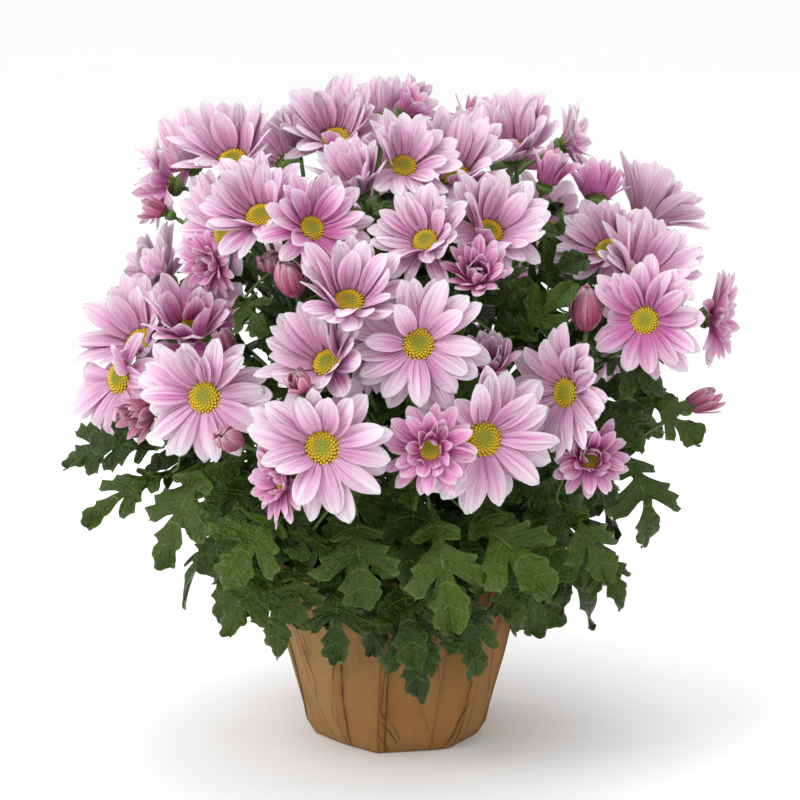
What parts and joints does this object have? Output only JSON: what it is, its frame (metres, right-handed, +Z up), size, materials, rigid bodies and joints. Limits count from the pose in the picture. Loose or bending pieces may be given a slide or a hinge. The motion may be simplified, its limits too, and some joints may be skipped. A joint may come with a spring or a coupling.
{
  "type": "pot chrysanthemum",
  "caption": "Potted chrysanthemum: a mound of pale lilac-pink daisy blooms with green-gold discs over dark lobed leaves, in a nursery pot inside a pleated kraft-paper cover.",
  "frame": {"origin": "middle of the flat base of the pot cover, on the surface that it stands on", "axes": "+Z up, -Y towards the front of the plant, +X to its right as seen from the front"},
  "size_m": [0.3903, 0.3766, 0.3957],
  "materials": {
    "kraft_paper": "matt brown kraft paper, folded",
    "pot_plastic": "matt dark grey plastic",
    "soil": "dark peat and bark compost",
    "foliage": "dark green, slightly waxy",
    "petals_pale": "pale lilac-pink, satin",
    "petals_rose": "rose-pink, satin",
    "petals_deep": "deep magenta-pink, satin",
    "petals_bud": "reddish pink, satin"
  },
  "bodies": {
    "root": {"pot_cover": "kraft_paper", "nursery_pot": "pot_plastic", "potting_soil": "soil", "leafy_stem_front": "foliage", "leafy_stem_right": "foliage", "leafy_stem_back_right": "foliage", "leafy_stem_back_left": "foliage", "leafy_stem_left": "foliage", "bloom_01": "petals_pale", "bloom_02": "petals_pale", "bloom_03": "petals_pale", "bloom_04": "petals_pale", "bloom_05": "petals_pale", "bloom_06": "petals_rose", "bloom_07": "petals_pale", "bloom_08": "petals_pale", "bloom_09": "petals_pale", "bloom_10": "petals_pale", "bloom_11": "petals_deep", "bloom_12": "petals_rose", "bloom_13": "petals_pale", "bloom_14": "petals_rose", "bloom_15": "petals_pale", "bloom_16": "petals_pale", "bloom_17": "petals_pale", "bloom_18": "petals_pale", "bloom_19": "petals_pale", "bloom_20": "petals_deep", "bloom_21": "petals_pale", "bloom_22": "petals_pale", "bloom_23": "petals_pale", "bloom_24": "petals_pale", "bloom_25": "petals_pale", "bloom_26": "petals_deep", "bloom_27": "petals_deep", "bloom_28": "petals_pale", "bloom_29": "petals_deep", "bloom_30": "petals_pale", "bloom_31": "petals_deep", "bloom_32": "petals_pale", "bloom_33": "petals_deep", "bloom_34": "petals_rose", "bloom_35": "petals_rose", "bloom_36": "petals_bud", "bloom_37": "petals_bud", "bloom_38": "petals_rose", "bloom_39": "petals_deep", "bloom_40": "petals_bud", "bloom_41": "petals_bud", "bloom_42": "petals_bud", "blooms_43_44": "petals_pale", "blooms_45_46": "petals_pale", "blooms_47_48": "petals_rose", "blooms_49_51": "petals_pale", "blooms_52_53": "petals_rose", "blooms_54_55": "petals_pale", "blooms_56_57": "petals_pale", "blooms_58_59": "petals_pale", "blooms_60_61": "petals_pale", "blooms_62_63": "petals_pale"}
  },
  "joints": []
}
